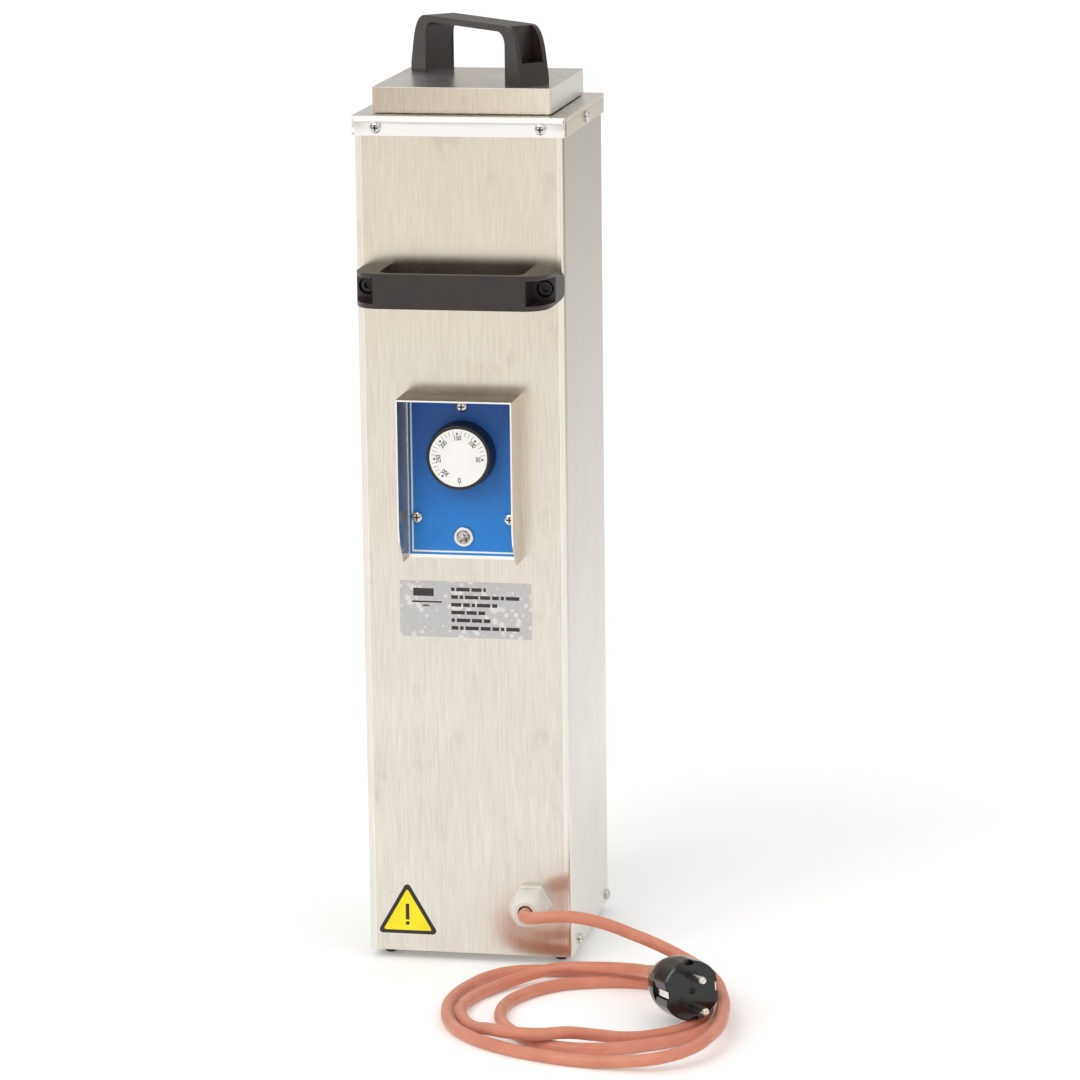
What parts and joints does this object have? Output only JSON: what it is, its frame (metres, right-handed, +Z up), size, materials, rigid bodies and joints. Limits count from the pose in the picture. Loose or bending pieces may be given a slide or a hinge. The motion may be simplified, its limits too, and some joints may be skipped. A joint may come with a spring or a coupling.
{
  "type": "portable welding electrode drying oven",
  "caption": "Tall square steel oven for drying welding electrodes, with lift-off lid, carrying handle, thermostat under a folded guard and a coiled mains lead.",
  "frame": {"origin": "on the floor, at the middle of the box around the oven without its lead", "axes": "+Z up along the column, front face with the controls towards -Y, +X to the right seen from the front"},
  "size_m": [0.2516, 0.3286, 0.5864],
  "materials": {
    "brushed_stainless": "vertical brushed grain",
    "satin_stainless": "satin",
    "zinc_screw": "zinc plated",
    "black_rubber": "satin",
    "mineral_wool": "pressed fibre board",
    "mica": "laminated mica",
    "white_ceramic": "unglazed",
    "copper": "drawn",
    "blue_aluminium": "printed satin",
    "black_phenolic": "moulded",
    "printed_dial": "printed",
    "chrome_bezel": "polished",
    "clear_lens": "clear",
    "white_nylon": "moulded",
    "brown_phenolic": "fine textured",
    "black_steel": "black oxide",
    "salmon_silicone": "satin silicone",
    "brass": "turned",
    "brown_sleeve": "silicone sleeve",
    "blue_sleeve": "silicone sleeve",
    "green_sleeve": "silicone sleeve",
    "grey_label": "printed foil",
    "yellow_label": "printed film",
    "black_gloss_plastic": "polished",
    "nickel_plate": "nickel plated"
  },
  "bodies": {
    "oven": {"casing": "brushed_stainless", "back_panel": "brushed_stainless", "back_panel_screws": "zinc_screw", "base_tray": "brushed_stainless", "base_screws": "zinc_screw", "feet": "black_rubber", "top_collar": "satin_stainless", "collar_screws": "zinc_screw", "chamber_tube": "satin_stainless", "chamber_floor": "satin_stainless", "insulation_front_lower": "mineral_wool", "insulation_front_upper": "mineral_wool", "insulation_back": "mineral_wool", "insulation_left": "mineral_wool", "insulation_right": "mineral_wool", "insulation_base": "mineral_wool", "heater_plates": "mica", "heater_straps": "satin_stainless", "heat_shield": "satin_stainless", "thermostat_body": "white_ceramic", "thermostat_screws": "zinc_screw", "capillary_tube": "copper", "thermostat_bulb": "copper", "bulb_clips": "satin_stainless", "control_guard": "brushed_stainless", "control_plate": "blue_aluminium", "panel_screws": "zinc_screw", "lamp_housing": "chrome_bezel", "lamp_lens": "clear_lens", "lamp_nut": "white_nylon", "front_handle": "brown_phenolic", "front_handle_screws": "black_steel", "front_handle_nuts": "zinc_screw", "gland_body": "white_nylon", "gland_nut": "white_nylon", "gland_seal": "black_rubber", "gland_locknut": "white_nylon", "cable_tail": "salmon_silicone", "terminal_block": "white_nylon", "earth_stud": "brass", "live_wire": "brown_sleeve", "neutral_wire": "blue_sleeve", "earth_wire": "green_sleeve", "rating_label": "grey_label", "warning_label": "yellow_label", "power_cord": "salmon_silicone", "plug_body": "black_gloss_plastic", "plug_pins": "nickel_plate", "plug_earth_clips": "nickel_plate", "plug_screw": "black_steel"},
    "lid": {"lid_pan": "satin_stainless", "lid_inner_pan": "satin_stainless", "lid_insulation": "mineral_wool", "lid_handle": "brown_phenolic", "lid_handle_screws": "black_steel", "lid_handle_nuts": "zinc_screw"},
    "knob": {"knob": "black_phenolic", "dial_disc": "printed_dial", "thermostat_shaft": "satin_stainless"}
  },
  "joints": [
    {"name": "lid_lift", "type": "slide", "parent": "oven", "child": "lid", "axis": [0, 0, 1], "range_m": [0, 0.12]},
    {"name": "thermostat_turn", "type": "hinge", "parent": "oven", "child": "knob", "pos_m": [0, -0.064, 0.3265], "axis": [0, -1, 0], "range_deg": [-139, 177]}
  ]
}
